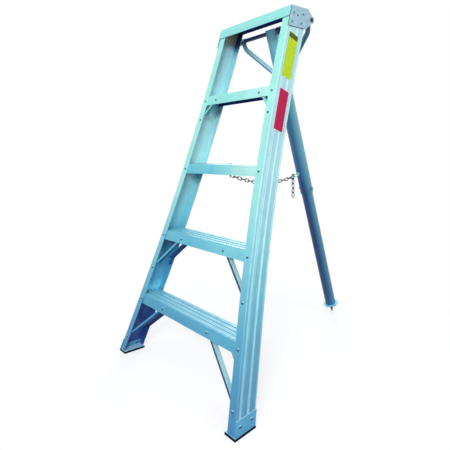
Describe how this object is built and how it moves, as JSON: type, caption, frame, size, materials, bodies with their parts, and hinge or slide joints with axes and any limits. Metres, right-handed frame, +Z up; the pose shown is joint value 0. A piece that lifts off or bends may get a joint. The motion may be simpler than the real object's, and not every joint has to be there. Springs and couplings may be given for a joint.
{
  "type": "orchard tripod ladder",
  "caption": "Free-standing orchard tripod ladder: flared stiles with ribbed treads and a cap, and one hinged rear pole held at its spread by a chain.",
  "frame": {"origin": "on the ground under the middle of the footprint, from the soles' toes to the round foot's rim", "axes": "+Z up, +Y from the treads' front towards the rear pole, +X to the right of someone who stands behind the pole's open side and faces the rear; the stiles lie on -X and +X"},
  "size_m": [0.856, 1.1478, 1.486],
  "materials": {
    "stile_aluminium": "aqua-tinted mill finish, long fluted web",
    "tread_aluminium": "aqua-tinted mill finish, ribbed deck",
    "cap_aluminium": "light aqua-tinted mill finish",
    "plate_steel": "plain grey sheet",
    "brace_aluminium": "aqua-tinted sheet",
    "rivet_aluminium": "domed heads",
    "shoe_aluminium": "aqua-tinted sheet",
    "sole_rubber": "matt black",
    "rod_steel": "dark blue paint",
    "fastener_steel": "dark plated",
    "pole_aluminium": "blue-tinted drawn tube",
    "spike_steel": "dark forged point",
    "eye_steel": "bright plated wire",
    "chain_steel": "dull zinc-plated wire"
  },
  "bodies": {
    "frame": {"left_stile": "stile_aluminium", "right_stile": "stile_aluminium", "tread_1": "tread_aluminium", "tread_2": "tread_aluminium", "tread_3": "tread_aluminium", "tread_4": "tread_aluminium", "cap": "cap_aluminium", "left_end_plate": "plate_steel", "right_end_plate": "plate_steel", "brace_1_front_left": "brace_aluminium", "brace_1_front_right": "brace_aluminium", "brace_1_rear_left": "brace_aluminium", "brace_1_rear_right": "brace_aluminium", "brace_2_front_left": "brace_aluminium", "brace_2_front_right": "brace_aluminium", "brace_2_rear_left": "brace_aluminium", "brace_2_rear_right": "brace_aluminium", "brace_4_front_left": "brace_aluminium", "brace_4_front_right": "brace_aluminium", "tread_rivets": "rivet_aluminium", "brace_rivets": "rivet_aluminium", "plate_rivets": "rivet_aluminium", "shoe_rivets": "rivet_aluminium", "left_shoe": "shoe_aluminium", "right_shoe": "shoe_aluminium", "left_sole": "sole_rubber", "right_sole": "sole_rubber", "pivot_rod": "rod_steel", "rod_nuts": "fastener_steel", "rod_collar": "rod_steel", "chain_anchor": "fastener_steel", "anchor_nut": "fastener_steel"},
    "rear_pole": {"upper_pole": "pole_aluminium", "lower_pole": "pole_aluminium", "left_arm": "pole_aluminium", "right_arm": "pole_aluminium", "pole_bolt": "fastener_steel", "pole_nut": "fastener_steel", "pole_foot": "pole_aluminium", "pole_spike": "spike_steel", "pole_eye": "eye_steel"},
    "front_chain": {"chain_front": "chain_steel"},
    "rear_chain": {"chain_rear": "chain_steel"},
    "tail_chain": {"chain_tail": "chain_steel"}
  },
  "joints": [
    {"name": "pole_fold", "type": "hinge", "parent": "frame", "child": "rear_pole", "pos_m": [0, 0.07765, 1.447], "axis": [1, 0, 0], "range_deg": [-32, 0]},
    {"name": "front_chain_swing", "type": "hinge", "parent": "frame", "child": "front_chain", "pos_m": [0, -0.19051, 0.838], "axis": [1, 0, 0], "range_deg": [-90, 0]},
    {"name": "rear_chain_swing", "type": "hinge", "parent": "rear_pole", "child": "rear_chain", "pos_m": [0, 0.214, 0.80237], "axis": [1, 0, 0], "range_deg": [0, 96]},
    {"name": "tail_chain_swing", "type": "hinge", "parent": "rear_pole", "child": "tail_chain", "pos_m": [-0.016, 0.2292, 0.80736], "axis": [1, 0, 0], "range_deg": [0, 23]}
  ],
  "couplings": [
    {"joint": "front_chain_swing", "follows": "pole_fold", "ratio": 2.78},
    {"joint": "rear_chain_swing", "follows": "pole_fold", "ratio": -2.98},
    {"joint": "tail_chain_swing", "follows": "pole_fold", "ratio": -0.7}
  ]
}
